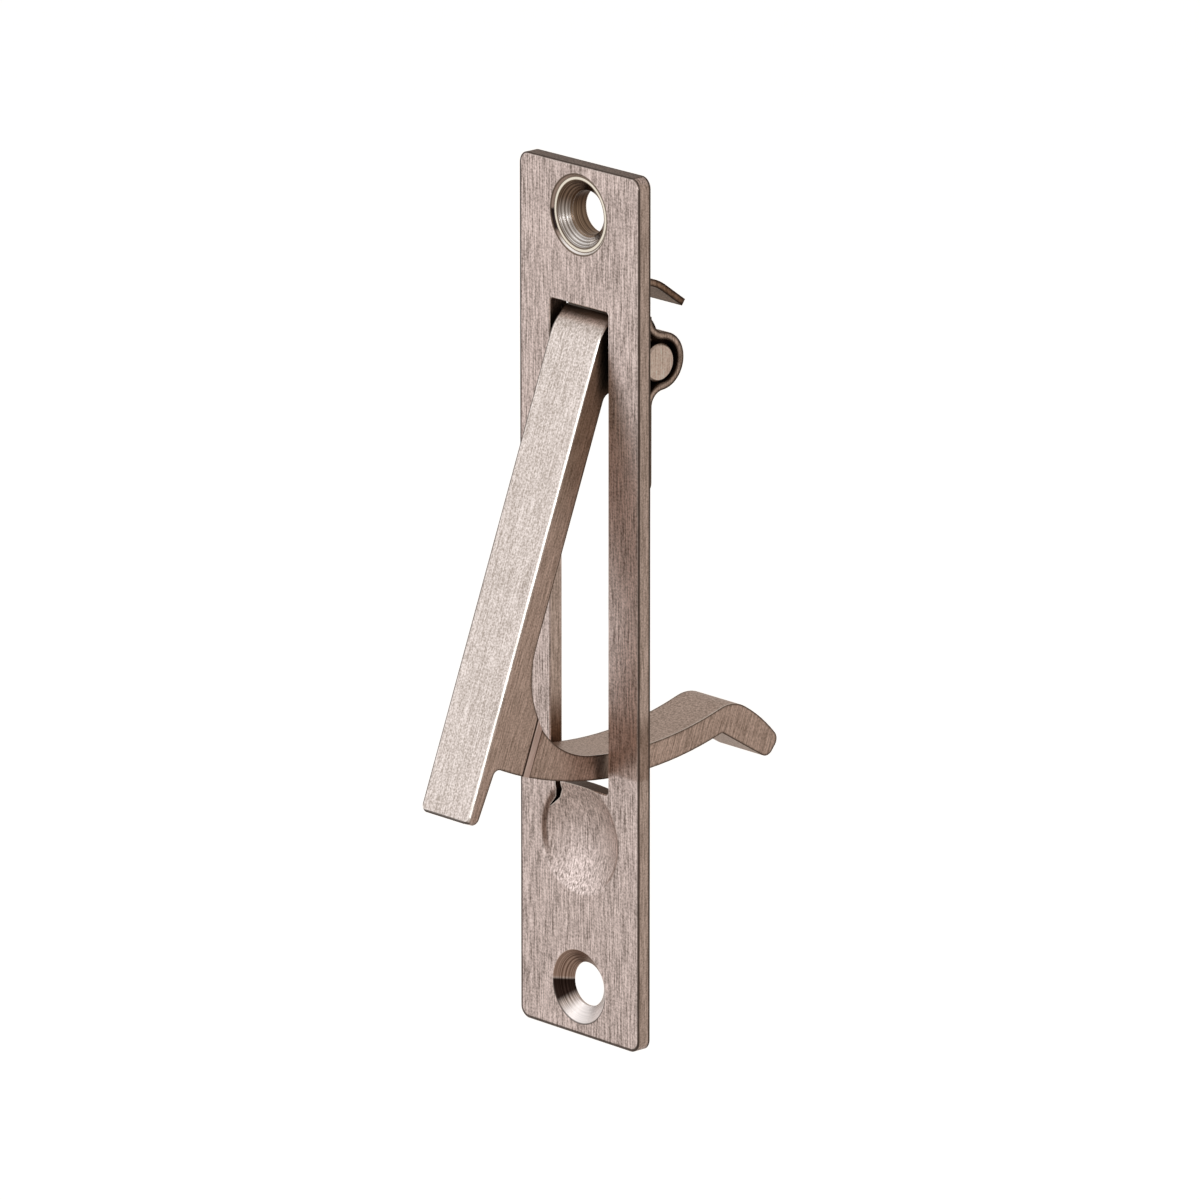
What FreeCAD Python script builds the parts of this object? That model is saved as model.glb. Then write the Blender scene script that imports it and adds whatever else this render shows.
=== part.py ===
import FreeCAD, Part
import math
import os

# Pocket door edge pull: a face plate let into the door's edge, with a lever that swings out
# of its slot on a cross pin. A folded strap behind the plate holds the pin's two ends, and a
# hollow eyelet clamps the strap at the upper screw hole.
# X runs across the plate, -Y is the side that the user sees, +Z is up.
# The origin is the middle of the plate's back face, halfway between its two screw holes.
# Lengths are in millimetres and angles in degrees.

# face plate
plate_length = 98.4
plate_width = 19.05
plate_thickness = 1.75
plate_corner_radius = 1.3
plate_edge_chamfer = 0.15
slot_width = 9.3
slot_screw_distance = 10.03
slot_bottom = -20.7
slot_corner_radius = 0.45
slot_rim_break = 0.12

# countersunk screw holes
screw_end_distance = 5.55
screw_bore_radius = 2.5
screw_land = 0.3
lower_countersink_radius = 4.2
upper_countersink_radius = 4.5

# thumb dish pressed into the plate below the slot
dish_radius = 6.6
dish_slot_overlap = 0.75
dish_depth = 1.45
dish_rim_radius = 1.0

# short tear where the dish's left side was drawn away from the slot's end:
# (x, z below the slot, width) along its path
tear_path = ((-3.4, -0.1, 0.8), (-3.4, 1.0, 0.75), (-3.85, 2.1, 0.5), (-5.0, 3.3, 0.12))

# cross pin
pin_slot_drop = 5.48
pin_radius = 2.1
pin_end_inset = 0.15
pin_end_chamfer = 0.2
running_gap = 0.1

# folded strap behind the plate
strap_thickness = 0.8
strap_edge_inset = 0.675
strap_neck_inset = 0.45
strap_top_margin = 1.2
strap_top_radius = 4.0
leg_slot_inset = 0.35
leg_foot_length = 9.8
foot_corner_radius = 1.4
saddle_radius = 2.42
saddle_upper_bend_radius = 2.0
saddle_lower_bend_radius = 1.7
saddle_play_direction = 63.0

# tongue lanced out of the strap above the pin
tongue_side_gap = 0.15
tongue_root_radius = 0.8
tongue_slot_rise = 2.83
tongue_level_length = 1.7
tongue_curve_radius = 6.0
tongue_drop_angle = 36.0
tongue_tip_length = 3.7

# eyelet that clamps the strap at the upper screw hole
eyelet_wall = 0.45
eyelet_rim_inset = 0.45
eyelet_flange_radius = 4.1
eyelet_flange_thickness = 0.9

# pull lever, drawn closed about its pin and then swung out
lever_side_gap = 0.8
lever_front_distance = 5.05
lever_corner_rise = 3.15
lever_hub_radius = 4.5
lever_hub_slope_angle = 120.0
lever_bar_thickness = 3.0
lever_hub_fillet = 1.2
lever_edge_chamfer = 0.15
root_fillet_radius = 10.4
root_block_thickness = 6.2
root_taper_length = 1.47
arm_side_step = 0.35
arm_centre_shift = 1.0
arm_slot_gap = 1.67
arm_thickness = 2.8
lip_reach = 6.45
lip_root_thickness = 1.85
lip_tip_thickness = 1.35
lip_corner_radius = 0.9
lip_root_fillet = 0.8
hook_root_angle = 37.3
hook_crest_angle = 40.4
hook_shoulder_angle = 44.95
hook_shoulder_rise = 4.9
hook_tip_high_angle = 46.4
hook_tip_high_reach = 4.2
hook_tip_low_angle = 43.9
hook_tip_low_reach = 5.4
hook_crest_fillet = 4.5
hook_tip_fillet = 1.1
rest_swing = 20.85

# places that follow from the sizes above
plate_front = -plate_thickness
half_spacing = plate_length / 2 - screw_end_distance
slot_top = half_spacing - slot_screw_distance
pin_back = pin_radius + running_gap
pin_height = slot_top - pin_slot_drop
slot_end_radius = pin_height - slot_bottom
arm_outer_radius = slot_end_radius - arm_slot_gap
arm_inner_radius = arm_outer_radius - arm_thickness
lever_front = -lever_front_distance
lever_back = lever_front + lever_bar_thickness
arm_centre = (arm_centre_shift, 0)
root_block_back = lever_front + root_block_thickness
root_taper_end = root_block_back + root_taper_length
lever_width = slot_width - 2 * lever_side_gap
arm_width = lever_width - 2 * arm_side_step
strap_half_width = plate_width / 2 - strap_edge_inset
neck_half_width = strap_half_width - strap_neck_inset
leg_inner_half_gap = slot_width / 2 + leg_slot_inset
tongue_half_width = slot_width / 2 - tongue_side_gap
dish_height = slot_bottom - dish_radius + dish_slot_overlap
cut_margin = 1.0
tiny = 1e-6


def vec(x, y, z):
    return FreeCAD.Vector(x, y, z)


def polar(centre, radius, angle):
    """Point of a side view (y, z), at an angle measured from +y towards +z."""
    turn = math.radians(angle)
    return (centre[0] + radius * math.cos(turn), centre[1] + radius * math.sin(turn))


def angle_of(centre, point):
    """Angle, measured from +y towards +z, at which the point is seen from the centre."""
    return math.degrees(math.atan2(point[1] - centre[1], point[0] - centre[0]))


def line(start, end):
    """Straight edge of a side view, drawn in the plane x = 0."""
    return Part.makeLine(vec(0, *start), vec(0, *end))


def arc(centre, radius, start_angle, end_angle):
    """Arc of a side view, drawn in the plane x = 0."""
    angles = (start_angle, (start_angle + end_angle) / 2, end_angle)
    points = [vec(0, *polar(centre, radius, angle)) for angle in angles]
    return Part.Arc(*points).toShape()


def side_prism(edges, x_start, x_end):
    """Solid between two x values whose side view is the closed loop of edges."""
    face = Part.Face(Part.Wire(Part.__sortEdges__(edges)))
    face.translate(vec(x_start, 0, 0))
    return face.extrude(vec(x_end - x_start, 0, 0))


def rounded_box(x_min, x_max, y_min, y_max, z_min, z_max, radius):
    """Box whose four edges along y are rounded."""
    box = Part.makeBox(x_max - x_min, y_max - y_min, z_max - z_min, vec(x_min, y_min, z_min))
    corners = [edge for edge in box.Edges if abs(edge.Vertexes[0].Y - edge.Vertexes[1].Y) > tiny]
    return box.makeFillet(radius, corners)


def turned(edges, height):
    """Solid turned about the line along y at the given height, from edges in the plane z = 0."""
    face = Part.Face(Part.Wire(edges))
    solid = face.revolve(vec(0, 0, 0), vec(0, 1, 0), 360)
    solid.translate(vec(0, 0, height))
    return solid


def turned_outline(points):
    """Straight edges through the (radius, y) points of a turned section, closed at the end."""
    corners = [vec(radius, y, 0) for radius, y in points]
    ends = corners[1:] + corners[:1]
    return [Part.makeLine(start, end) for start, end in zip(corners, ends)]


def edges_at(solid, places):
    """Edges along x whose side view lies nearest each of the (y, z) places."""
    across = [edge for edge in solid.Edges if len(edge.Vertexes) == 2]
    across = [
        edge for edge in across
        if abs(edge.Vertexes[0].X - edge.Vertexes[1].X) > tiny
        and abs(edge.Vertexes[0].Y - edge.Vertexes[1].Y) < tiny
        and abs(edge.Vertexes[0].Z - edge.Vertexes[1].Z) < tiny
    ]
    chosen = []
    for y, z in places:
        chosen.append(min(across, key=lambda e: math.hypot(e.Vertexes[0].Y - y, e.Vertexes[0].Z - z)))
    return chosen


def screw_hole(height, bore_radius, sink_radius):
    """Cutter for one countersunk screw hole, wide end at the plate's front."""
    outline = [
        (0, plate_front - cut_margin),
        (sink_radius, plate_front - cut_margin),
        (sink_radius, plate_front),
        (bore_radius, -screw_land),
        (bore_radius, cut_margin),
        (0, cut_margin),
    ]
    return turned(turned_outline(outline), height)


def dish_ball():
    """Radius of the ball that the dish's front face follows, and the y of its centre."""
    radius = (dish_radius ** 2 + dish_depth ** 2) / (2 * dish_depth) - dish_rim_radius
    return radius, plate_front + dish_depth - radius


def dish_cutter():
    """Pressed dish's front face with its softened rim, filled in up to the plate's front."""
    ball_radius, ball_y = dish_ball()
    rim_centre = vec(dish_radius, plate_front + dish_rim_radius, 0)
    ball_centre = vec(0, ball_y, 0)
    towards_rim = (rim_centre - ball_centre).normalize()
    rim_foot = ball_centre + towards_rim * ball_radius
    half_turn = math.asin(towards_rim.x) / 2
    floor_middle = vec(ball_radius * math.sin(half_turn), ball_y + ball_radius * math.cos(half_turn), 0)
    towards_top = (vec(0, -1, 0) - towards_rim).normalize()
    rim_middle = rim_centre + towards_top * dish_rim_radius
    rim_top = vec(dish_radius, plate_front, 0)
    mouth_y = plate_front - cut_margin
    floor = vec(0, plate_front + dish_depth, 0)
    edges = [
        Part.Arc(floor, floor_middle, rim_foot).toShape(),
        Part.Arc(rim_foot, rim_middle, rim_top).toShape(),
        Part.makeLine(rim_top, vec(dish_radius, mouth_y, 0)),
        Part.makeLine(vec(dish_radius, mouth_y, 0), vec(0, mouth_y, 0)),
        Part.makeLine(vec(0, mouth_y, 0), floor),
    ]
    return turned(edges, dish_height)


def dish_bulge():
    """Ball cap that stands behind the plate where the dish was pressed."""
    ball_radius, ball_y = dish_ball()
    ball = Part.makeSphere(ball_radius + plate_thickness, vec(0, ball_y, dish_height))
    reach = dish_radius + 2 * plate_thickness
    behind = Part.makeBox(
        2 * reach, plate_thickness + dish_depth, 2 * reach,
        vec(-reach, plate_front / 2, dish_height - reach),
    )
    return ball.common(behind)


def slot_cutter():
    """Cutter for the slot, through the plate and the dish's back."""
    return rounded_box(
        -slot_width / 2, slot_width / 2, plate_front - cut_margin, dish_depth + cut_margin,
        slot_bottom, slot_top, slot_corner_radius,
    )


def make_slotted_sheet():
    """Flat plate with its slot, whose front edges are broken."""
    sheet = make_sheet().cut(slot_cutter())
    rim = [
        edge for edge in sheet.Edges
        if all(abs(corner.Y - plate_front) < tiny for corner in edge.Vertexes)
        and all(abs(corner.X) < slot_width / 2 + tiny for corner in edge.Vertexes)
        and all(slot_bottom - tiny < corner.Z < slot_top + tiny for corner in edge.Vertexes)
    ]
    return sheet.makeChamfer(slot_rim_break, rim)


def tear_cutter():
    """Narrow slit through the sheet along the tear's path."""
    left = [vec(x - width / 2, 0, slot_bottom - drop) for x, drop, width in tear_path]
    right = [vec(x + width / 2, 0, slot_bottom - drop) for x, drop, width in tear_path]
    outline = Part.makePolygon(left + right[::-1] + left[:1])
    face = Part.Face(outline)
    face.translate(vec(0, plate_front - cut_margin, 0))
    return face.extrude(vec(0, plate_thickness + dish_depth + 2 * cut_margin, 0))


def make_sheet():
    """Flat plate with rounded corners and broken front edges."""
    half_width = plate_width / 2
    half_length = plate_length / 2
    sheet = rounded_box(
        -half_width, half_width, plate_front, 0, -half_length, half_length, plate_corner_radius
    )
    front_edges = [
        edge for edge in sheet.Edges
        if all(abs(corner.Y - plate_front) < tiny for corner in edge.Vertexes)
    ]
    return sheet.makeChamfer(plate_edge_chamfer, front_edges)


def make_face_plate():
    """Plate with its slot, its pressed dish and its two countersunk holes."""
    upper_bore = screw_bore_radius + eyelet_wall
    plate = make_slotted_sheet().fuse(dish_bulge())
    plate = plate.cut(dish_cutter()).cut(slot_cutter()).cut(tear_cutter())
    plate = plate.cut(screw_hole(half_spacing, upper_bore, upper_countersink_radius))
    plate = plate.cut(screw_hole(-half_spacing, screw_bore_radius, lower_countersink_radius))
    return plate.removeSplitter()


def saddle_bend(centre, radius, side):
    """Centre of the bend above (side 1) or below (side -1) that leads into the saddle's curve."""
    bend_y = strap_thickness + radius
    reach = saddle_radius + strap_thickness + radius
    return (bend_y, centre[1] + side * math.sqrt(reach ** 2 - (bend_y - centre[0]) ** 2))


def saddle_places():
    """Centre of the saddle's curve, and of the bends above and below that lead into it."""
    centre = polar((pin_back, pin_height), saddle_radius - pin_radius - running_gap, saddle_play_direction)
    upper = saddle_bend(centre, saddle_upper_bend_radius, 1)
    lower = saddle_bend(centre, saddle_lower_bend_radius, -1)
    return centre, upper, lower


def make_strap_leg(x_start, x_end):
    """One leg of the strap: a flat foot, and the saddle over the pin's end."""
    centre, upper, lower = saddle_places()
    upper_turn = angle_of(centre, upper)
    lower_turn = angle_of(centre, lower)
    foot_end = lower[1] - leg_foot_length
    upper_wide = saddle_upper_bend_radius + strap_thickness
    lower_wide = saddle_lower_bend_radius + strap_thickness
    edges = [
        line((0, foot_end), (strap_thickness, foot_end)),
        line((strap_thickness, foot_end), (strap_thickness, lower[1])),
        arc(lower, saddle_lower_bend_radius, 180, lower_turn + 180),
        arc(centre, saddle_radius + strap_thickness, lower_turn, upper_turn),
        arc(upper, saddle_upper_bend_radius, upper_turn - 180, -180),
        line((strap_thickness, upper[1]), (0, upper[1])),
        arc(upper, upper_wide, -180, upper_turn - 180),
        arc(centre, saddle_radius, upper_turn, lower_turn),
        arc(lower, lower_wide, lower_turn + 180, 180),
        line((0, lower[1]), (0, foot_end)),
    ]
    leg = side_prism(edges, x_start, x_end)
    corners = [
        edge for edge in leg.Edges
        if all(abs(corner.Z - foot_end) < tiny for corner in edge.Vertexes)
        and abs(edge.Vertexes[0].Y - edge.Vertexes[1].Y) > tiny
    ]
    return leg.makeFillet(foot_corner_radius, corners)


def make_tongue():
    """Curved tab that leaves the strap's web and bends down behind the pin."""
    top = slot_top + tongue_slot_rise
    below = top - strap_thickness
    root = (strap_thickness + tongue_root_radius, top + tongue_root_radius)
    level_end = root[0] + tongue_level_length
    hub = (level_end, top - tongue_curve_radius)
    inner_curve = tongue_curve_radius - strap_thickness
    drop = 90 - tongue_drop_angle
    upper_bend = polar(hub, tongue_curve_radius, drop)
    lower_bend = polar(hub, inner_curve, drop)
    upper_tip = polar(upper_bend, tongue_tip_length, -tongue_drop_angle)
    lower_tip = polar(lower_bend, tongue_tip_length, -tongue_drop_angle)
    edges = [
        arc(root, tongue_root_radius, 180, 270),
        line((root[0], top), (level_end, top)),
        arc(hub, tongue_curve_radius, 90, drop),
        line(upper_bend, upper_tip),
        line(upper_tip, lower_tip),
        line(lower_tip, lower_bend),
        arc(hub, inner_curve, drop, 90),
        line((level_end, below), (root[0], below)),
        arc(root, tongue_root_radius + strap_thickness, 270, 180),
        line((0, root[1]), (strap_thickness, root[1])),
    ]
    return side_prism(edges, -tongue_half_width, tongue_half_width)


def make_web():
    """Flat top of the strap, with the eyelet's hole, and the two necks that reach the saddles."""
    web_top = plate_length / 2 - strap_top_margin
    web_bottom = slot_top + tongue_slot_rise + tongue_root_radius
    neck_bottom = saddle_places()[1][1]
    sheet = rounded_box(
        -neck_half_width, neck_half_width, 0, strap_thickness,
        neck_bottom - 2 * strap_top_radius, web_top, strap_top_radius,
    )
    gap = Part.makeBox(
        2 * leg_inner_half_gap, strap_thickness, web_bottom,
        vec(-leg_inner_half_gap, 0, 0),
    )
    below = Part.makeBox(
        2 * neck_half_width, strap_thickness, neck_bottom,
        vec(-neck_half_width, 0, 0),
    )
    hole = Part.makeCylinder(
        screw_bore_radius + eyelet_wall, strap_thickness, vec(0, 0, half_spacing), vec(0, 1, 0)
    )
    return sheet.cut(gap).cut(below).cut(hole)


def make_pivot_strap():
    """Strap folded from one sheet: web, tongue, and a leg with a saddle on each side."""
    strap = make_web().fuse(make_tongue())
    strap = strap.fuse(make_strap_leg(leg_inner_half_gap, strap_half_width))
    strap = strap.fuse(make_strap_leg(-strap_half_width, -leg_inner_half_gap))
    return strap.removeSplitter()


def make_strap_eyelet():
    """Hollow rivet: flared head in the upper countersink, flange rolled over the strap."""
    barrel = screw_bore_radius + eyelet_wall
    slope = (upper_countersink_radius - barrel) / (plate_thickness - screw_land)
    rim = upper_countersink_radius - eyelet_rim_inset
    rim_y = plate_front + eyelet_rim_inset / slope
    back = strap_thickness + eyelet_flange_thickness
    roll = eyelet_flange_thickness / 2
    outline = [
        (screw_bore_radius, -screw_land),
        (rim - eyelet_wall, rim_y),
        (rim, rim_y),
        (barrel, -screw_land),
        (barrel, strap_thickness),
        (eyelet_flange_radius, strap_thickness),
        (eyelet_flange_radius, back - roll),
        (eyelet_flange_radius - roll, back),
        (screw_bore_radius, back),
    ]
    return turned(turned_outline(outline), half_spacing)


def make_pivot_pin():
    """Plain cross pin, chamfered at both ends."""
    half_length = strap_half_width - pin_end_inset
    pin = Part.makeCylinder(
        pin_radius, 2 * half_length, vec(-half_length, pin_back, pin_height), vec(1, 0, 0)
    )
    rims = [edge for edge in pin.Edges if len(edge.Vertexes) == 1]
    return pin.makeChamfer(pin_end_chamfer, rims)


def arm_end(y):
    """Point of the arm's outer curve that has the given y, with the pin at (0, 0)."""
    return (y, -math.sqrt(arm_outer_radius ** 2 - (y - arm_centre_shift) ** 2))


def root_centre():
    """Centre of the deep fillet between the bar's back and the arm."""
    y = lever_back + root_fillet_radius
    reach = arm_inner_radius - root_fillet_radius
    return (y, -math.sqrt(reach ** 2 - (y - arm_centre_shift) ** 2))


def root_surface(y):
    """Point of the deep fillet that has the given y."""
    centre = root_centre()
    return (y, centre[1] - math.sqrt(root_fillet_radius ** 2 - (y - centre[0]) ** 2))


def side_taper(side):
    """Cutter that slopes the root block's side down to the arm's narrower side."""
    wide = side * lever_width / 2
    narrow = side * arm_width / 2
    points = [
        vec(wide, root_block_back, 0),
        vec(narrow, root_taper_end, 0),
        vec(narrow, root_taper_end + cut_margin, 0),
        vec(wide + side * cut_margin, root_taper_end + cut_margin, 0),
        vec(wide + side * cut_margin, root_block_back, 0),
    ]
    face = Part.Face(Part.makePolygon(points + points[:1]))
    face.translate(vec(0, 0, root_centre()[1]))
    return face.extrude(vec(0, 0, -arm_outer_radius))


def make_bar():
    """Bar with its hub, its deep root fillet and its thin lip, closed, pin at (0, 0)."""
    pin = (0, 0)
    front = lever_front
    corner_turn = 180 - math.degrees(math.asin(lever_corner_rise / lever_front_distance))
    corner = polar(pin, lever_front_distance, corner_turn)
    slope_foot = polar(pin, lever_hub_radius, lever_hub_slope_angle)
    blend_y = lever_back + lever_hub_fillet
    blend_z = -math.sqrt((lever_hub_radius + lever_hub_fillet) ** 2 - blend_y ** 2)
    blend = (blend_y, blend_z)
    root = root_centre()
    block_top = root_surface(root_taper_end)
    block_foot = arm_end(root_taper_end)
    lip_root = arm_end(front + lip_root_thickness)
    lip_z = -arm_outer_radius - lip_reach
    lip_tip = (front + lip_tip_thickness, lip_z)
    edges = [
        arc(pin, lever_front_distance, 180, corner_turn),
        line(corner, slope_foot),
        arc(pin, lever_hub_radius, lever_hub_slope_angle, angle_of(pin, blend)),
        arc(blend, lever_hub_fillet, angle_of(blend, pin), 180),
        line((lever_back, blend_z), (lever_back, root[1])),
        arc(root, root_fillet_radius, -180, angle_of(root, block_top)),
        line(block_top, block_foot),
        arc(arm_centre, arm_outer_radius, angle_of(arm_centre, block_foot), angle_of(arm_centre, lip_root)),
        line(lip_root, lip_tip),
        line(lip_tip, (front, lip_z)),
        line((front, lip_z), (front, 0)),
    ]
    bar = side_prism(edges, -lever_width / 2, lever_width / 2)
    bar = bar.cut(side_taper(1)).cut(side_taper(-1))
    bar = bar.makeFillet(lip_root_fillet, edges_at(bar, [lip_root]))
    corners = [
        edge for edge in bar.Edges
        if all(abs(corner.Z - lip_z) < tiny for corner in edge.Vertexes)
        and abs(edge.Vertexes[0].Y - edge.Vertexes[1].Y) > tiny
    ]
    bar = bar.makeFillet(lip_corner_radius, corners)
    front_face = max(
        (face for face in bar.Faces if abs(face.CenterOfMass.y - front) < tiny),
        key=lambda face: face.Area,
    )
    rim = [edge for edge in front_face.Edges if any(corner.Z < -tiny for corner in edge.Vertexes)]
    return bar.makeChamfer(lever_edge_chamfer, rim)


def make_arm():
    """Curved arm that runs through the slot, and its stop hook, with the pin at (0, 0)."""
    pin = (0, 0)
    start_y = root_block_back - cut_margin
    start_top = root_surface(start_y)
    start_foot = arm_end(start_y)
    root = root_centre()
    root_turn = angle_of(arm_centre, root)
    crest_turn = hook_crest_angle - 90
    foot_turn = hook_root_angle - 90
    crest = polar(arm_centre, arm_inner_radius, crest_turn)
    shoulder = polar(pin, arm_inner_radius + hook_shoulder_rise, hook_shoulder_angle - 90)
    tip_high = polar(pin, slot_end_radius + hook_tip_high_reach, hook_tip_high_angle - 90)
    tip_low = polar(pin, slot_end_radius + hook_tip_low_reach, hook_tip_low_angle - 90)
    points = [vec(0, *place) for place in (crest, shoulder, tip_high)]
    edges = [
        arc(root, root_fillet_radius, angle_of(root, start_top), root_turn),
        arc(arm_centre, arm_inner_radius, root_turn, crest_turn),
        Part.Arc(*points).toShape(),
        line(tip_high, tip_low),
        line(tip_low, polar(arm_centre, arm_outer_radius, foot_turn)),
        arc(arm_centre, arm_outer_radius, foot_turn, angle_of(arm_centre, start_foot)),
        line(start_foot, start_top),
    ]
    arm = side_prism(edges, -arm_width / 2, arm_width / 2)
    arm = arm.makeFillet(hook_crest_fillet, edges_at(arm, [crest]))
    return arm.makeFillet(hook_tip_fillet, edges_at(arm, [tip_high, tip_low]))


def make_pull_lever():
    """Bar and arm as one casting, swung out to the angle at which it rests."""
    bore = Part.makeCylinder(
        pin_radius, lever_width, vec(-lever_width / 2, 0, 0), vec(1, 0, 0)
    )
    lever = make_bar().fuse(make_arm()).cut(bore).removeSplitter()
    lever.rotate(vec(0, 0, 0), vec(1, 0, 0), -rest_swing)
    lever.translate(vec(0, pin_back, pin_height))
    return lever


def main():
    os.makedirs("parts", exist_ok=True)
    makers = {
        "face_plate": make_face_plate,
        "pivot_strap": make_pivot_strap,
        "strap_eyelet": make_strap_eyelet,
        "pivot_pin": make_pivot_pin,
        "pull_lever": make_pull_lever,
    }
    for name, maker in makers.items():
        shape = maker()
        if len(shape.Solids) == 1:
            shape = shape.Solids[0]
        shape.exportStep("parts/" + name + ".step")
        print(name, len(shape.Solids), "solid, volume", round(shape.Volume, 2), "valid", shape.isValid())


main()
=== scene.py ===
import math
import bmesh
import bpy
from mathutils import Matrix, Vector


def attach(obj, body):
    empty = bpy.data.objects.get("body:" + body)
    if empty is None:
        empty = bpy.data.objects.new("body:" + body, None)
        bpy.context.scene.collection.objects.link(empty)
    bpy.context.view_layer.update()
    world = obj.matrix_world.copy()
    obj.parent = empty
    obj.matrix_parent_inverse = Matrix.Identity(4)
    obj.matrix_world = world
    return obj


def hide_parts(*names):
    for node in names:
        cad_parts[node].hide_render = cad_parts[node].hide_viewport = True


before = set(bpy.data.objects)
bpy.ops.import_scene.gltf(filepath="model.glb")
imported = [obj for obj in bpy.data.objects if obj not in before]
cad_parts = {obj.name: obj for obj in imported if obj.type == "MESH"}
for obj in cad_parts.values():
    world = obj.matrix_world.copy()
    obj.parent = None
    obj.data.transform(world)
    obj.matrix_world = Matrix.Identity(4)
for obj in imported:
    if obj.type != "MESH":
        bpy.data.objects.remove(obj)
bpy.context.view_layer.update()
scene = bpy.context.scene

# Camera: a long lens, a little above the pull and well round to its right, so that the plate's
# front, its right edge and the strap behind it all show.
camera_azimuth = math.radians(47.247)
camera_elevation = math.radians(15.775)
camera_distance = 1.278
aim_right = 0.001035
aim_up = 0.000156
camera_data = bpy.data.cameras.new("photo_camera")
camera_data.sensor_width = 36
camera_data.lens = 351.9
camera_data.clip_start = 0.05
camera_data.clip_end = 20
camera = bpy.data.objects.new("photo_camera", camera_data)
scene.collection.objects.link(camera)
turn = (
    Matrix.Rotation(camera_azimuth, 4, "Z")
    @ Matrix.Rotation(math.pi / 2 - camera_elevation, 4, "X")
)
aim = Matrix.Translation(turn.to_3x3() @ Vector((aim_right, aim_up, 0)))
camera.matrix_world = aim @ turn @ Matrix.Translation((0, 0, camera_distance))
scene.camera = camera
scene.view_settings.view_transform = "Standard"

# Surroundings: a studio that is evenly warm and dim all round, with one wide soft glow in front
# on the left, as the satin metal shows it. The camera itself sees plain white.


def add_node(tree, kind, inputs=(), **settings):
    """Adds a shader node, and links each input to its socket or sets it to its value."""
    node = tree.nodes.new("ShaderNode" + kind)
    for name, value in settings.items():
        setattr(node, name, value)
    for name, value in dict(inputs).items():
        if isinstance(value, bpy.types.NodeSocket):
            tree.links.new(value, node.inputs[name])
        else:
            node.inputs[name].default_value = value
    return node


white = (1.0, 1.0, 1.0, 1)
glow_direction = (-0.6, -0.75, 0.28)
glow_sharpness = 5.0
glow_colour = (0.75, 0.81, 0.86)
dim_colour = (0.48, 0.43, 0.39)
world = bpy.data.worlds.new("studio")
scene.world = world
world.use_nodes = True
studio = world.node_tree
studio.nodes.clear()
looking = add_node(studio, "TexCoord")
towards = add_node(
    studio, "VectorMath", {0: looking.outputs["Generated"], 1: glow_direction},
    operation="DOT_PRODUCT",
)
front_half = add_node(
    studio, "Math", {0: towards.outputs["Value"], 1: 0.0}, operation="MAXIMUM"
)
falloff = add_node(
    studio, "Math", {0: front_half.outputs["Value"], 1: glow_sharpness}, operation="POWER"
)
light = add_node(
    studio, "VectorMath", {0: falloff.outputs["Value"], 1: glow_colour, 2: dim_colour},
    operation="MULTIPLY_ADD",
)
seen = add_node(studio, "LightPath")
pick = add_node(
    studio, "Mix",
    {"Factor": seen.outputs["Is Camera Ray"], "A": light.outputs["Vector"], "B": white},
    data_type="RGBA",
)
sky = add_node(studio, "Background", {"Color": pick.outputs["Result"]})
add_node(studio, "OutputWorld", {"Surface": sky.outputs["Background"]})

# Key light: a broad soft panel above and to the left of the camera.


def add_panel(name, place, size, power, colour):
    """Adds a square panel that shines from its place towards the pull."""
    panel_data = bpy.data.lights.new(name, "AREA")
    panel_data.shape = "SQUARE"
    panel_data.size = size
    panel_data.energy = power
    panel_data.color = colour
    panel = bpy.data.objects.new(name, panel_data)
    scene.collection.objects.link(panel)
    panel.location = place
    panel.rotation_euler = (-place).to_track_quat("-Z", "Y").to_euler()


add_panel("key_panel", Vector((-0.35, -0.85, 0.75)), 0.5, 0.5, (1.0, 0.99, 0.97))

# Edge light: a smaller panel beside the camera, which only the rounded edges send back.
add_panel("edge_panel", Vector((0.66, -0.62, 0.28)), 0.25, 0.8, white[:3])

# Floor: a plain white sweep some way below the pull. To the camera it also glows a little.
floor_drop = 0.11
floor_half = 4.0
floor_mesh = bpy.data.meshes.new("floor")
sheet = bmesh.new()
bmesh.ops.create_grid(sheet, x_segments=1, y_segments=1, size=floor_half)
bmesh.ops.translate(sheet, verts=sheet.verts, vec=(0, 0, -floor_drop))
sheet.to_mesh(floor_mesh)
sheet.free()
floor = bpy.data.objects.new("floor", floor_mesh)
scene.collection.objects.link(floor)
floor_white = bpy.data.materials.new("floor_white")
floor_white.use_nodes = True
floor_tree = floor_white.node_tree
paint = floor_tree.nodes["Principled BSDF"]
paint.inputs["Base Color"].default_value = (0.82, 0.82, 0.82, 1)
paint.inputs["Roughness"].default_value = 0.9
paint.inputs["Specular IOR Level"].default_value = 0.1
seen = add_node(floor_tree, "LightPath")
glow = add_node(floor_tree, "Emission", {"Strength": 0.6})
both = add_node(floor_tree, "AddShader", {0: paint.outputs["BSDF"], 1: glow.outputs["Emission"]})
choose = add_node(
    floor_tree, "MixShader",
    {"Fac": seen.outputs["Is Camera Ray"], 1: paint.outputs["BSDF"], 2: both.outputs["Shader"]},
)
floor_tree.links.new(
    choose.outputs["Shader"], floor_tree.nodes["Material Output"].inputs["Surface"]
)
floor.data.materials.append(floor_white)
floor.visible_glossy = False

# Face plate: one stamping of satin nickel plated steel, brushed along its length before the
# slot, the thumb dish and the two countersinks were made. It is let into the door's edge.

sharp_angle = math.radians(24)
scratch_depth = 0.00003


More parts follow.
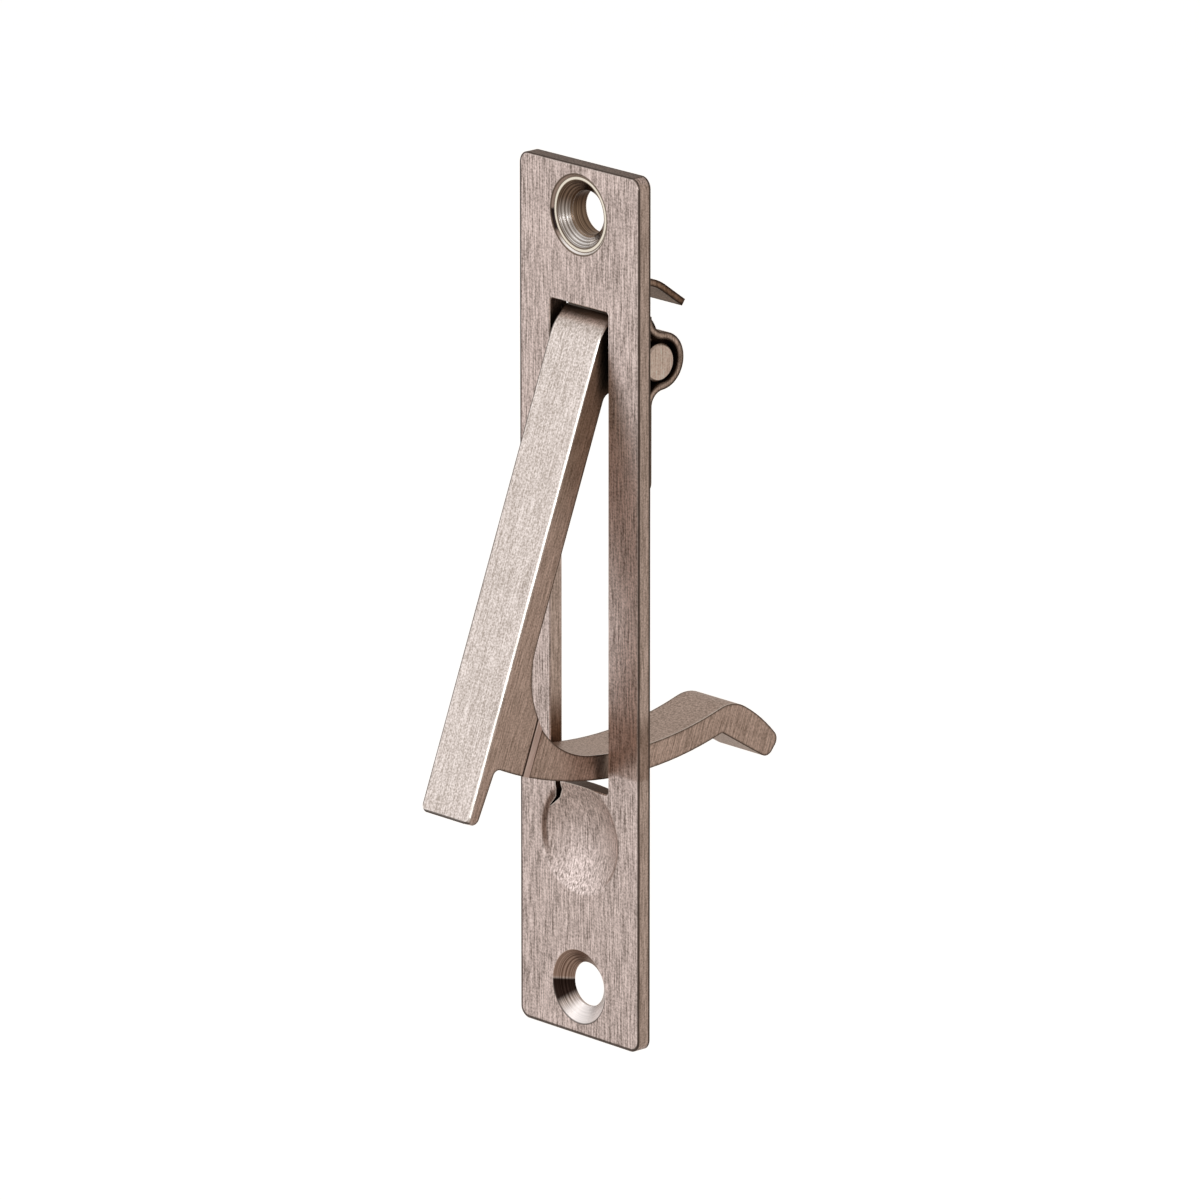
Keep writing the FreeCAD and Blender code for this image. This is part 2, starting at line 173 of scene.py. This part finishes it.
def finished_copy(node, name):
    """The node's mesh with its triangles joined, smooth where its curves run on."""
    mesh = bpy.data.meshes.new(name)
    form = bmesh.new()
    form.from_mesh(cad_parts[node].data)
    bmesh.ops.remove_doubles(form, verts=form.verts, dist=1e-7)
    bmesh.ops.dissolve_degenerate(form, edges=form.edges, dist=1e-8)
    for face in form.faces:
        face.smooth = True
    for edge in form.edges:
        edge.smooth = len(edge.link_faces) == 2 and edge.calc_face_angle() < sharp_angle
    form.to_mesh(mesh)
    form.free()
    piece = bpy.data.objects.new(name, mesh)
    scene.collection.objects.link(piece)
    weigh = piece.modifiers.new("flat faces stay flat", "WEIGHTED_NORMAL")
    weigh.mode = "FACE_AREA"
    weigh.weight = 100
    weigh.keep_sharp = True
    return piece


def start_group(name, inputs, outputs):
    """A shader node group with its named sockets, and what it is given and has to fill in."""
    group = bpy.data.node_groups.new(name, "ShaderNodeTree")
    for way, sockets in (("INPUT", inputs), ("OUTPUT", outputs)):
        for label, kind, *value in sockets:
            socket = group.interface.new_socket(
                name=label, in_out=way, socket_type="NodeSocket" + kind
            )
            if value:
                socket.default_value = value[0]
    given = group.nodes.new("NodeGroupInput")
    result = group.nodes.new("NodeGroupOutput")
    return group, given.outputs, result.inputs


def brushed_group():
    """Long fine scratches along the group's Z, with fine specks and a little broad clouding."""
    group, given, result = start_group(
        "brushed_grain",
        (
            ("Vector", "Vector"),
            ("Scratch Scale", "Float", 5600.0),
            ("Stretch", "Float", 0.05),
            ("Speck Scale", "Float", 4400.0),
            ("Speck Share", "Float", 0.35),
            ("Dark", "Color"),
            ("Light", "Color"),
            ("Smoothest", "Float", 0.28),
            ("Roughest", "Float", 0.45),
        ),
        (("Color", "Color"), ("Roughness", "Float"), ("Height", "Float")),
    )
    squeeze = add_node(group, "CombineXYZ", {"X": 1.0, "Y": 1.0, "Z": given["Stretch"]})
    lengthwise = add_node(
        group, "VectorMath", {0: given["Vector"], 1: squeeze.outputs["Vector"]},
        operation="MULTIPLY",
    )
    scratch = add_node(group, "TexNoise", {
        "Vector": lengthwise.outputs["Vector"], "Scale": given["Scratch Scale"],
        "Detail": 2.0, "Roughness": 0.7,
    })
    speck = add_node(group, "TexNoise", {
        "Vector": given["Vector"], "Scale": given["Speck Scale"], "Detail": 1.0,
    })
    cloud = add_node(group, "TexNoise", {
        "Vector": given["Vector"], "Scale": 180.0, "Detail": 2.0,
    })
    fine = add_node(group, "Mix", {
        "Factor": given["Speck Share"], "A": scratch.outputs["Fac"], "B": speck.outputs["Fac"],
    }, data_type="FLOAT")
    broad = add_node(group, "Mix", {
        "Factor": 0.05, "A": fine.outputs["Result"], "B": cloud.outputs["Fac"],
    }, data_type="FLOAT")
    contrast = add_node(group, "MapRange", {
        "Value": broad.outputs["Result"], "From Min": 0.36, "From Max": 0.64,
    })
    tint = add_node(group, "Mix", {
        "Factor": contrast.outputs["Result"], "A": given["Dark"], "B": given["Light"],
    }, data_type="RGBA")
    rough = add_node(group, "MapRange", {
        "Value": scratch.outputs["Fac"], "From Min": 0.3, "From Max": 0.7,
        "To Min": given["Roughest"], "To Max": given["Smoothest"],
    })
    group.links.new(tint.outputs["Result"], result["Color"])
    group.links.new(rough.outputs["Result"], result["Roughness"])
    group.links.new(fine.outputs["Result"], result["Height"])
    return group


brushed_grain = brushed_group()


def sides_group():
    """The coarser grain of the sheared faces, on a piece's left and right."""
    group, given, result = start_group(
        "sheared_sides",
        (("Color", "Color"), ("Vector", "Vector"), ("Dark", "Color"), ("Light", "Color")),
        (("Color", "Color"), ("Mask", "Float")),
    )
    surface = add_node(group, "NewGeometry")
    split = add_node(group, "SeparateXYZ", {"Vector": surface.outputs["Normal"]})
    sideways = add_node(group, "Math", {0: split.outputs["X"]}, operation="ABSOLUTE")
    mask = add_node(group, "MapRange", {
        "Value": sideways.outputs["Value"], "From Min": 0.75, "From Max": 0.95,
    }, interpolation_type="SMOOTHSTEP")
    grain = add_node(group, "Group", {
        "Vector": given["Vector"], "Scratch Scale": 5200.0, "Stretch": 0.06,
        "Dark": given["Dark"], "Light": given["Light"],
    }, node_tree=brushed_grain)
    cover = add_node(group, "Mix", {
        "Factor": mask.outputs["Result"], "A": given["Color"], "B": grain.outputs["Color"],
    }, data_type="RGBA")
    group.links.new(cover.outputs["Result"], result["Color"])
    group.links.new(mask.outputs["Result"], result["Mask"])
    return group


def edge_line_group():
    """A line along a piece's edges, from how far its rounded normal turns away: light wear when
    its colour is light, painted shade when it is dark.
    """
    group, given, result = start_group(
        "edge_line",
        (
            ("Color", "Color"),
            ("Worn", "Color"),
            ("Width", "Float"),
            ("Amount", "Float"),
        ),
        (("Color", "Color"),),
    )
    rounded = add_node(group, "Bevel", {"Radius": given["Width"]}, samples=8)
    flat = add_node(group, "NewGeometry")
    agree = add_node(
        group, "VectorMath", {0: rounded.outputs["Normal"], 1: flat.outputs["Normal"]},
        operation="DOT_PRODUCT",
    )
    edge = add_node(group, "MapRange", {
        "Value": agree.outputs["Value"], "From Min": 0.99, "From Max": 0.85,
    })
    share = add_node(
        group, "Math", {0: edge.outputs["Result"], 1: given["Amount"]}, operation="MULTIPLY"
    )
    polish = add_node(group, "Mix", {
        "Factor": share.outputs["Value"], "A": given["Color"], "B": given["Worn"],
    }, data_type="RGBA")
    group.links.new(polish.outputs["Result"], result["Color"])
    return group


def crevice_shade_group():
    """Painted shade in the crevices, where little light reaches in."""
    group, given, result = start_group(
        "painted_crevice_shade",
        (
            ("Color", "Color"),
            ("Soil", "Color", (0.10, 0.07, 0.05, 1)),
            ("Reach", "Float", 0.0022),
            ("Blocked", "Float", 0.25),
            ("Clear", "Float", 0.8),
        ),
        (("Color", "Color"),),
    )
    light_share = add_node(group, "AmbientOcclusion", {"Distance": given["Reach"]}, samples=12)
    shaded = add_node(group, "MapRange", {
        "Value": light_share.outputs["AO"], "From Min": given["Blocked"],
        "From Max": given["Clear"], "To Min": 1.0, "To Max": 0.0,
    })
    cover = add_node(group, "Mix", {
        "Factor": shaded.outputs["Result"], "A": given["Color"], "B": given["Soil"],
    }, data_type="RGBA")
    group.links.new(cover.outputs["Result"], result["Color"])
    return group


def rings_group():
    """Fine turned rings about the group's Y axis, on a cone, a bore or a flange alike."""
    group, given, result = start_group(
        "turned_rings",
        (
            ("Vector", "Vector"),
            ("Ring Scale", "Float", 3600.0),
            ("Dark", "Color"),
            ("Light", "Color"),
        ),
        (("Color", "Color"), ("Radius", "Float")),
    )
    split = add_node(group, "SeparateXYZ", {"Vector": given["Vector"]})
    across = add_node(group, "CombineXYZ", {"X": split.outputs["X"], "Z": split.outputs["Z"]})
    radius = add_node(
        group, "VectorMath", {0: across.outputs["Vector"]}, operation="LENGTH"
    )
    reach = add_node(
        group, "Math", {0: radius.outputs["Value"], 1: split.outputs["Y"]}, operation="SUBTRACT"
    )
    rings = add_node(group, "TexNoise", {
        "W": reach.outputs["Value"], "Scale": given["Ring Scale"],
        "Detail": 2.0, "Roughness": 0.7,
    }, noise_dimensions="1D")
    contrast = add_node(group, "MapRange", {
        "Value": rings.outputs["Fac"], "From Min": 0.38, "From Max": 0.62,
    })
    tint = add_node(group, "Mix", {
        "Factor": contrast.outputs["Result"], "A": given["Dark"], "B": given["Light"],
    }, data_type="RGBA")
    group.links.new(tint.outputs["Result"], result["Color"])
    group.links.new(radius.outputs["Value"], result["Radius"])
    return group


sheared_sides = sides_group()
edge_line = edge_line_group()
painted_crevice_shade = crevice_shade_group()
turned_rings = rings_group()


def tone_range(tone, spread):
    """The darkest and the lightest colour of a grain that varies about a tone."""
    browner = (1.0, 0.96, 0.91)
    dark = (*(level * (1 - spread) * share for level, share in zip(tone, browner)), 1)
    light = (*(level * (1 + spread) / share ** 0.5 for level, share in zip(tone, browner)), 1)
    return dark, light


def satin_metal(
    name, tone, spread, smoothest, roughest, bump, speck_share=0.35,
    edge_tint=(1.0, 0.93, 0.88), edge_width=0.0002, edge_amount=0.8, turn=0.0, centre=(0, 0, 0),
):
    """Brushed metal with painted shade in its crevices, a line along its edges that is light wear
    when its colour is light and painted shade when it is dark, and its scratches along the piece.
    """
    material = bpy.data.materials.new(name)
    material.use_nodes = True
    tree = material.node_tree
    metal = tree.nodes["Principled BSDF"]
    metal.inputs["Metallic"].default_value = 1.0
    place = add_node(tree, "TexCoord")
    lay = add_node(tree, "Mapping", {
        "Vector": place.outputs["Object"], "Location": centre, "Rotation": (turn, 0, 0),
    }, name="lay", vector_type="TEXTURE")
    dark, light = tone_range(tone, spread)
    grain = add_node(tree, "Group", {
        "Vector": lay.outputs["Vector"], "Speck Share": speck_share, "Dark": dark,
        "Light": light, "Smoothest": smoothest, "Roughest": roughest,
    }, node_tree=brushed_grain)
    # edge line: light wear in a light edge colour, painted shade in a dark one
    wear_and_shade = add_node(tree, "Group", {
        "Color": grain.outputs["Color"], "Worn": (*edge_tint, 1), "Width": edge_width,
        "Amount": edge_amount,
    }, name="wear_and_shade", node_tree=edge_line)
    # painted shade: the colour darkens wherever ambient occlusion finds a crevice
    crevice_shade = add_node(
        tree, "Group", {"Color": wear_and_shade.outputs["Color"]}, name="crevice_shade", node_tree=painted_crevice_shade
    )
    relief = add_node(tree, "Bump", {
        "Strength": bump, "Distance": scratch_depth, "Height": grain.outputs["Height"],
    })
    tree.links.new(crevice_shade.outputs["Color"], metal.inputs["Base Color"])
    tree.links.new(grain.outputs["Roughness"], metal.inputs["Roughness"])
    tree.links.new(relief.outputs["Normal"], metal.inputs["Normal"])
    return material


def shear_sides(material, tone, spread):
    """Gives the left and right faces their own grain and tone, and returns their mask."""
    tree = material.node_tree
    worn_over = tree.nodes["wear_and_shade"].inputs["Color"]
    dark, light = tone_range(tone, spread)
    sides = add_node(tree, "Group", {
        "Color": worn_over.links[0].from_socket, "Vector": tree.nodes["lay"].outputs["Vector"],
        "Dark": dark, "Light": light,
    }, node_tree=sheared_sides)
    tree.links.new(sides.outputs["Color"], worn_over)
    return sides.outputs["Mask"]


def own_axes(material):
    """The piece's own X, Y and Z, as its grain uses them."""
    tree = material.node_tree
    split = add_node(tree, "SeparateXYZ", {"Vector": tree.nodes["lay"].outputs["Vector"]})
    return split.outputs


def facing(material, axis):
    """How far the surface looks along one of the axes X, Y and Z, from -1 to 1."""
    surface = add_node(material.node_tree, "NewGeometry")
    split = add_node(
        material.node_tree, "SeparateXYZ", {"Vector": surface.outputs["Normal"]}
    )
    return split.outputs[axis]


def turned_face(material, centre, dark=(0, 0, 0), light=(1, 1, 1)):
    """Rings about a hole, with their radius, and the place as seen from the hole's centre."""
    tree = material.node_tree
    lay = add_node(tree, "Mapping", {
        "Vector": tree.nodes["lay"].outputs["Vector"], "Location": centre,
    }, vector_type="TEXTURE")
    rings = add_node(tree, "Group", {
        "Vector": lay.outputs["Vector"], "Dark": (*dark, 1), "Light": (*light, 1),
    }, node_tree=turned_rings)
    return rings.outputs, lay.outputs["Vector"]


def along(vector, direction):
    """How far a vector reaches in a direction."""
    reach = add_node(
        vector.id_data, "VectorMath", {0: vector, 1: direction}, operation="DOT_PRODUCT"
    )
    return reach.outputs["Value"]


def calculate(operation, first, second=0.0):
    """One step of arithmetic on a socket and on another one or a plain number."""
    tree = (second if isinstance(first, (int, float)) else first).id_data
    step = add_node(tree, "Math", {0: first, 1: second}, operation=operation)
    return step.outputs["Value"]


def fade(value, start, end):
    """A mask that is 0 where the value is at start and 1 where it is at end."""
    slope = add_node(value.id_data, "MapRange", {
        "Value": value, "From Min": start, "From Max": end,
    }, interpolation_type="SMOOTHSTEP")
    return slope.outputs["Result"]


def where_all(*masks):
    """A mask that is 1 only where all of the masks are."""
    product = masks[0]
    for mask in masks[1:]:
        product = calculate("MULTIPLY", product, mask)
    return product


def between(value, start, end, soft):
    """A mask that is 1 between two values and fades out over a soft distance beyond them."""
    return where_all(fade(value, start - soft, start), fade(value, end + soft, end))


def tint_where(material, mask, colour, share=1.0, blend="MIX", layer="wear_and_shade"):
    """Puts a colour over what reaches a layer, as strongly as the mask and the share say."""
    tree = material.node_tree
    target = tree.nodes[layer].inputs["Color"]
    if mask is None:
        factor = share
    else:
        factor = mask if share == 1 else calculate("MULTIPLY", mask, share)
    cover = add_node(tree, "Mix", {
        "Factor": factor, "A": target.links[0].from_socket,
        "B": (*colour, 1) if isinstance(colour, tuple) else colour,
    }, data_type="RGBA", blend_type=blend)
    tree.links.new(cover.outputs["Result"], target)


def rounded_outline(axes, half_width, half_length, corner, shift):
    """Distance outside the outline of a rounded rectangle in the piece's X and Z."""
    wide = calculate("ABSOLUTE", calculate("SUBTRACT", axes["X"], shift))
    wide = calculate("SUBTRACT", wide, half_width - corner)
    tall = calculate("ABSOLUTE", calculate("SUBTRACT", axes["Z"], shift))
    tall = calculate("SUBTRACT", tall, half_length - corner)
    over_wide = calculate("POWER", calculate("MAXIMUM", wide, 0.0), 2.0)
    over_tall = calculate("POWER", calculate("MAXIMUM", tall, 0.0), 2.0)
    round_part = calculate("SQRT", calculate("ADD", over_wide, over_tall))
    flat_part = calculate("MINIMUM", calculate("MAXIMUM", wide, tall), 0.0)
    return calculate("SUBTRACT", calculate("ADD", round_part, flat_part), corner)


plate_front = -0.00175
plate_half_width = 0.009525
plate_half_length = 0.0492
plate_corner = 0.0013
slot_end = -0.0207
slot_half_width = 0.00465
dish_height = -0.02655
screw_height = 0.04365
plate = finished_copy("face_plate", "brushed_plate")
plate_nickel = satin_metal(
    "plate_satin_nickel", tone=(0.640, 0.525, 0.482), spread=0.62, smoothest=0.28,
    roughest=0.42, bump=0.35, edge_width=0.0003,
)
plate_sides = shear_sides(plate_nickel, tone=(0.66, 0.535, 0.47), spread=0.45)
plate_axes = own_axes(plate_nickel)
# painted shadow on the slot's lower end, and the arm's painted shadow and reflection darken the
# rail beside it
low_in_slot = where_all(
    fade(calculate("ABSOLUTE", plate_axes["X"]), 0.0048, 0.0047),
    fade(plate_axes["Z"], -0.009, -0.016),
)
slot_wall = where_all(low_in_slot, plate_sides)
slot_floor = where_all(
    between(plate_axes["Z"], slot_end - 0.0001, slot_end + 0.0001, 0.0001),
    fade(facing(plate_nickel, "Z"), 0.85, 0.95),
)
arm_shadow_on_rail = where_all(
    fade(plate_axes["X"], slot_half_width - 0.0001, slot_half_width),
    fade(plate_axes["Z"], -0.0095, -0.0135),
    fade(plate_axes["Z"], -0.0184, -0.0178),
)
tint_where(plate_nickel, slot_wall, (0.30, 0.22, 0.16), blend="MULTIPLY")
tint_where(plate_nickel, slot_floor, (0.16, 0.12, 0.09), blend="MULTIPLY")
tint_where(plate_nickel, arm_shadow_on_rail, (0.70, 0.64, 0.60), blend="MULTIPLY")
# dish below the slot: painted shade in its rim's crease, long on the left and fine on the right
dish_rings, dish_place = turned_face(plate_nickel, (0, 0, dish_height))
dish_right = along(dish_place, (1, 0, 0))
left_crease = where_all(
    between(dish_rings["Radius"], 0.0057, 0.0060, 0.0003),
    fade(dish_right, -0.0036, -0.0046),
    fade(along(dish_place, (0, 0, 1)), -0.0040, -0.0008),
)
right_crease = where_all(
    between(dish_rings["Radius"], 0.0060, 0.0061, 0.0002),
    fade(dish_right, 0.0036, 0.0050),
)
tint_where(plate_nickel, left_crease, (0.30, 0.23, 0.19), share=0.9, blend="MULTIPLY")
tint_where(plate_nickel, right_crease, (0.55, 0.47, 0.42), share=0.8, blend="MULTIPLY")
# ends and rims: painted shade dulls the ends, and a dark line of painted shade runs along the
# front's and the back's edges
end_face = fade(
    calculate("ABSOLUTE", plate_axes["Z"]), plate_half_length - 0.0001, plate_half_length - 0.00003
)
line_shift = 0.00012
from_outline = calculate(
    "ABSOLUTE",
    rounded_outline(plate_axes, plate_half_width, plate_half_length, plate_corner, line_shift),
)
from_front = calculate("SUBTRACT", plate_axes["Y"], plate_front)
from_back = calculate("MULTIPLY", plate_axes["Y"], -1.0)
from_edge = calculate("MAXIMUM", from_outline, calculate("MINIMUM", from_front, from_back))
rim_line = fade(from_edge, 0.00030, 0.00020)
tint_where(plate_nickel, end_face, (0.30, 0.26, 0.24), blend="MULTIPLY")
tint_where(plate_nickel, rim_line, (0.07, 0.05, 0.04), share=0.9, layer="crevice_shade")
# lower countersink: turned rings, with painted shade brown above and nearly black on the left, a
# painted highlight below, and a dark line of painted shade round its lower rim
sink_rings, sink_place = turned_face(
    plate_nickel, (0, 0, -screw_height), dark=(0.30, 0.23, 0.19), light=(1.0, 0.90, 0.86)
)
sink_rise = along(sink_place, (0, 0, 1))
sink_turn = along(sink_place, (0.62, 0, -0.78))
in_sink = fade(sink_rings["Radius"], 0.00424, 0.00418)
sink_top = where_all(in_sink, fade(sink_rise, 0.0, 0.0004))
sink_bright = where_all(in_sink, fade(sink_turn, 0.0, 0.0014))
sink_black = where_all(
    in_sink, fade(sink_rise, 0.0002, -0.0001), fade(sink_turn, 0.0004, -0.0006)
)
sink_line = where_all(
    fade(sink_rise, 0.0, -0.0010), between(sink_rings["Radius"], 0.00416, 0.00426, 0.00006)
)
tint_where(plate_nickel, in_sink, sink_rings["Color"], share=0.9, layer="crevice_shade")
tint_where(plate_nickel, sink_top, (0.66, 0.54, 0.47), blend="MULTIPLY", layer="crevice_shade")
tint_where(plate_nickel, sink_bright, (1.0, 0.95, 0.94), share=0.85, layer="crevice_shade")
tint_where(plate_nickel, sink_black, (0.05, 0.035, 0.03), blend="MULTIPLY", layer="crevice_shade")
tint_where(plate_nickel, sink_line, (0.10, 0.08, 0.07), share=0.8, layer="crevice_shade")
# upper countersink: what shows of it round the eyelet has turned rings, black painted shade on the
# left, a painted highlight below and a dark line of painted shade at its rim
upper_rings, upper_place = turned_face(
    plate_nickel, (0, 0, screw_height), dark=(0.30, 0.22, 0.18), light=(0.60, 0.48, 0.42)
)
upper_rise = along(upper_place, (0, 0, 1))
upper_turn = along(upper_place, (0.55, 0, -0.83))
in_upper = fade(upper_rings["Radius"], 0.00454, 0.00448)
upper_black = where_all(
    in_upper, fade(upper_rise, 0.0002, -0.0002), fade(upper_turn, 0.0004, -0.0004)
)
upper_bright = where_all(
    fade(upper_turn, 0.0004, 0.0014), between(upper_rings["Radius"], 0.00424, 0.00438, 0.00004)
)
upper_line = between(upper_rings["Radius"], 0.00445, 0.00455, 0.00006)
tint_where(plate_nickel, in_upper, upper_rings["Color"], share=0.9, layer="crevice_shade")
tint_where(plate_nickel, upper_black, (0.03, 0.02, 0.02), layer="crevice_shade")
tint_where(plate_nickel, upper_bright, (1.0, 0.97, 0.95), layer="crevice_shade")
tint_where(plate_nickel, upper_line, (0.14, 0.10, 0.07), share=0.8, layer="crevice_shade")
plate.data.materials.append(plate_nickel)
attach(plate, "plate")
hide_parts("face_plate")

# Strap: folded from one strip of plated steel, with a saddle over each end of the pin and a
# tongue bent down behind it. It lies flat on the plate's back, and its cut edges are darkened with
# painted shade.
strap = finished_copy("pivot_strap", "folded_strap")
# the dark edge colour below paints shade along the strap's cut edges
strap_nickel = satin_metal(
    "strap_satin_nickel", tone=(0.46, 0.37, 0.30), spread=0.5, smoothest=0.3, roughest=0.46,
    bump=0.4, edge_tint=(0.05, 0.03, 0.02), edge_width=0.0010, edge_amount=1.0,
)
shear_sides(strap_nickel, tone=(0.62, 0.49, 0.41), spread=0.5)
strap_axes = own_axes(strap_nickel)
# the tongue behind the plate is darkened with painted shade
shaded_tongue = where_all(
    fade(strap_axes["Z"], 0.0318, 0.0325), fade(strap_axes["Y"], 0.0015, 0.0070)
)
tint_where(strap_nickel, shaded_tongue, (0.50, 0.40, 0.32), blend="MULTIPLY")
strap.data.materials.append(strap_nickel)
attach(strap, "plate")
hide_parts("pivot_strap")

# Eyelet: a turned hollow rivet, flared into the upper countersink, that clamps the strap. Its
# lip reaches a little further up the countersink's cone than the solid's.
eyelet = finished_copy("strap_eyelet", "turned_eyelet")
lip_radius = 0.0034
lip_depth = -0.0012
lip_growth = 0.00016
lip_rise = 0.00015
for vertex in eyelet.data.vertices:
    radius = math.hypot(vertex.co.x, vertex.co.z - screw_height)
    if radius > lip_radius and vertex.co.y < lip_depth:
        grow = 1 + lip_growth / radius
        vertex.co.x *= grow
        vertex.co.z = screw_height + (vertex.co.z - screw_height) * grow
        vertex.co.y -= lip_rise
eyelet_nickel = satin_metal(
    "eyelet_turned_nickel", tone=(0.70, 0.62, 0.54), spread=0.3, smoothest=0.18,
    roughest=0.3, bump=0.2,
)
eyelet_rings, eyelet_place = turned_face(
    eyelet_nickel, (0, 0, screw_height), dark=(0.24, 0.21, 0.19), light=(0.95, 0.93, 0.92)
)
# painted shade on the eyelet's upper part, in its bore and round its head, and a painted highlight
# on its rim
eyelet_shade = fade(along(eyelet_place, (0, 0, 1)), -0.0008, 0.0016)
eyelet_bore = fade(eyelet_rings["Radius"], 0.0028, 0.0026)
eyelet_head = fade(eyelet_rings["Radius"], 0.0036, 0.00375)
rim_highlight = between(eyelet_rings["Radius"], 0.00388, 0.00408, 0.00006)
tint_where(eyelet_nickel, None, eyelet_rings["Color"], share=0.9)
tint_where(eyelet_nickel, eyelet_shade, (0.34, 0.25, 0.19), blend="MULTIPLY")
tint_where(eyelet_nickel, eyelet_bore, (0.45, 0.34, 0.25), blend="MULTIPLY")
tint_where(eyelet_nickel, eyelet_head, (0.16, 0.11, 0.07), share=0.9, layer="crevice_shade")
tint_where(eyelet_nickel, rim_highlight, (1.0, 0.93, 0.80), layer="crevice_shade")
eyelet.data.materials.append(eyelet_nickel)
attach(eyelet, "plate")
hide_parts("strap_eyelet")

# Lever: one zinc casting, brushed and plated, that swings out of the slot on the pin. Its front
# edges are polished by hands, and the edges behind them are darkened with painted shade.
lever_rest = math.radians(20.85)
lever_pin = (0, 0.0022, 0.02814)
lever = finished_copy("pull_lever", "swing_lever")
# the hub's top is a little fuller than the solid's, as the photograph shows it in the slot
hub_centre = Vector(lever_pin)
hub_radius = 0.0045
hub_growth = 0.105
growth_start = 20
growth_span = 60
corner_radius = 0.00505
chamfer_depth = 0.00016
corner_from = 116.9
corner_to = 120.7
corner_turn = Matrix.Rotation(math.radians(-4.2), 3, "X")
corner_growth = 1.03
rounding = 0.00001
for vertex in lever.data.vertices:
    arm = vertex.co - hub_centre
    reach = math.hypot(arm.y, arm.z)
    angle = math.degrees(math.atan2(arm.z, arm.y))
    near_corner = corner_radius - chamfer_depth < reach < corner_radius + rounding
    if abs(reach - hub_radius) < 2 * rounding and angle > growth_start:
        share = min(1, (angle - growth_start) / growth_span)
        fuller = 1 + hub_growth * share * share * (3 - 2 * share)
        vertex.co = hub_centre + Vector((arm.x, arm.y * fuller, arm.z * fuller))
    elif near_corner and corner_from < angle < corner_to:
        vertex.co = hub_centre + corner_turn @ arm * corner_growth
polished = (1.0, 0.93, 0.88)
shaded_edge_colour = (0.10, 0.07, 0.05)
lever_nickel = satin_metal(
    "lever_satin_nickel", tone=(0.65, 0.57, 0.525), spread=0.36, smoothest=0.3,
    roughest=0.44, bump=0.4, speck_share=0.6, edge_width=0.0006, edge_amount=0.95,
    turn=-lever_rest, centre=lever_pin,
)
lever_sides = shear_sides(lever_nickel, tone=(0.66, 0.55, 0.49), spread=0.45)
lever_axes = own_axes(lever_nickel)
behind_front = fade(lever_axes["Y"], -0.0048, -0.0045)
# the sides near the hub are darkened with painted shade
hub_side_shade = where_all(lever_sides, fade(lever_axes["Z"], -0.026, -0.008))
tint_where(lever_nickel, behind_front, (0.97, 0.90, 0.86), blend="MULTIPLY")
tint_where(lever_nickel, hub_side_shade, (0.58, 0.56, 0.50), blend="MULTIPLY")
# the arm's root tapers over a painted highlight strip between two dark lines of painted shade
beside_root = where_all(lever_sides, fade(lever_axes["Z"], -0.030, -0.034))
root_taper = where_all(beside_root, between(lever_axes["Y"], 0.00125, 0.00235, 0.0001))
taper_start = where_all(beside_root, between(lever_axes["Y"], 0.00098, 0.00118, 0.00008))
taper_end = where_all(
    lever_sides, between(lever_axes["Y"], 0.00242, 0.00254, 0.00008),
    fade(lever_axes["Z"], -0.032, -0.036),
)
tint_where(lever_nickel, root_taper, (1.0, 0.84, 0.78), layer="crevice_shade")
tint_where(lever_nickel, taper_start, (0.08, 0.05, 0.04), layer="crevice_shade")
tint_where(lever_nickel, taper_end, (0.16, 0.11, 0.08), share=0.8, layer="crevice_shade")
# edges: darkened with painted shade behind the front, apart from the right-hand ridge of the hook
hook_ridge = where_all(
    fade(lever_axes["Y"], 0.008, 0.010), fade(lever_axes["X"], 0.0020, 0.0030),
    fade(facing(lever_nickel, "Z"), 0.5, 0.6),
)
shaded_edges = where_all(behind_front, calculate("SUBTRACT", 1.0, hook_ridge))
edge_colour = add_node(lever_nickel.node_tree, "Mix", {
    "Factor": shaded_edges, "A": (*polished, 1), "B": (*shaded_edge_colour, 1),
}, data_type="RGBA")
lever_nickel.node_tree.links.new(
    edge_colour.outputs["Result"], lever_nickel.node_tree.nodes["wear_and_shade"].inputs["Worn"]
)
# front: a painted highlight along its right edge, and a dark line of painted shade along its left
# edge and its foot
edge_highlight = where_all(
    between(facing(lever_nickel, "X"), 0.6, 0.8, 0.1), fade(lever_axes["Y"], -0.00483, -0.00489)
)
left_or_low = calculate(
    "MAXIMUM", fade(lever_axes["X"], -0.00354, -0.00362),
    fade(lever_axes["Z"], -0.05330, -0.05339),
)
edge_shade_line = where_all(left_or_low, fade(lever_axes["Y"], -0.0043, -0.0046))
tint_where(lever_nickel, edge_highlight, (1.0, 0.97, 0.94), layer="crevice_shade")
tint_where(lever_nickel, edge_shade_line, (0.10, 0.08, 0.07), share=0.9, layer="crevice_shade")
# hub: painted shade, brown and then black, where its top goes back into the slot
hub_shade = where_all(
    fade(lever_axes["Y"], -0.0047, -0.0042), fade(lever_axes["Z"], 0.0026, 0.0030)
)
hub_top = where_all(
    fade(lever_axes["Y"], -0.0041, -0.0037), fade(lever_axes["Z"], 0.0028, 0.0032)
)
tint_where(lever_nickel, hub_shade, (0.24, 0.16, 0.11), share=0.8, layer="crevice_shade")
tint_where(lever_nickel, hub_top, (0.03, 0.02, 0.015), layer="crevice_shade")
lever.data.materials.append(lever_nickel)
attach(lever, "pull")
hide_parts("pull_lever")

# Pin: a plain steel cross pin, pressed into the lever's hub, that turns in the strap's saddles.
# It was cut from drawn wire, and its ends show no more than a fine even grain.
pin = finished_copy("pivot_pin", "cross_pin")
pin_steel = satin_metal(
    "pin_satin_steel", tone=(0.92, 0.77, 0.68), spread=0.3, smoothest=0.3, roughest=0.45,
    bump=0.3,
)
pin.data.materials.append(pin_steel)
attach(pin, "pull")
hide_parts("pivot_pin")
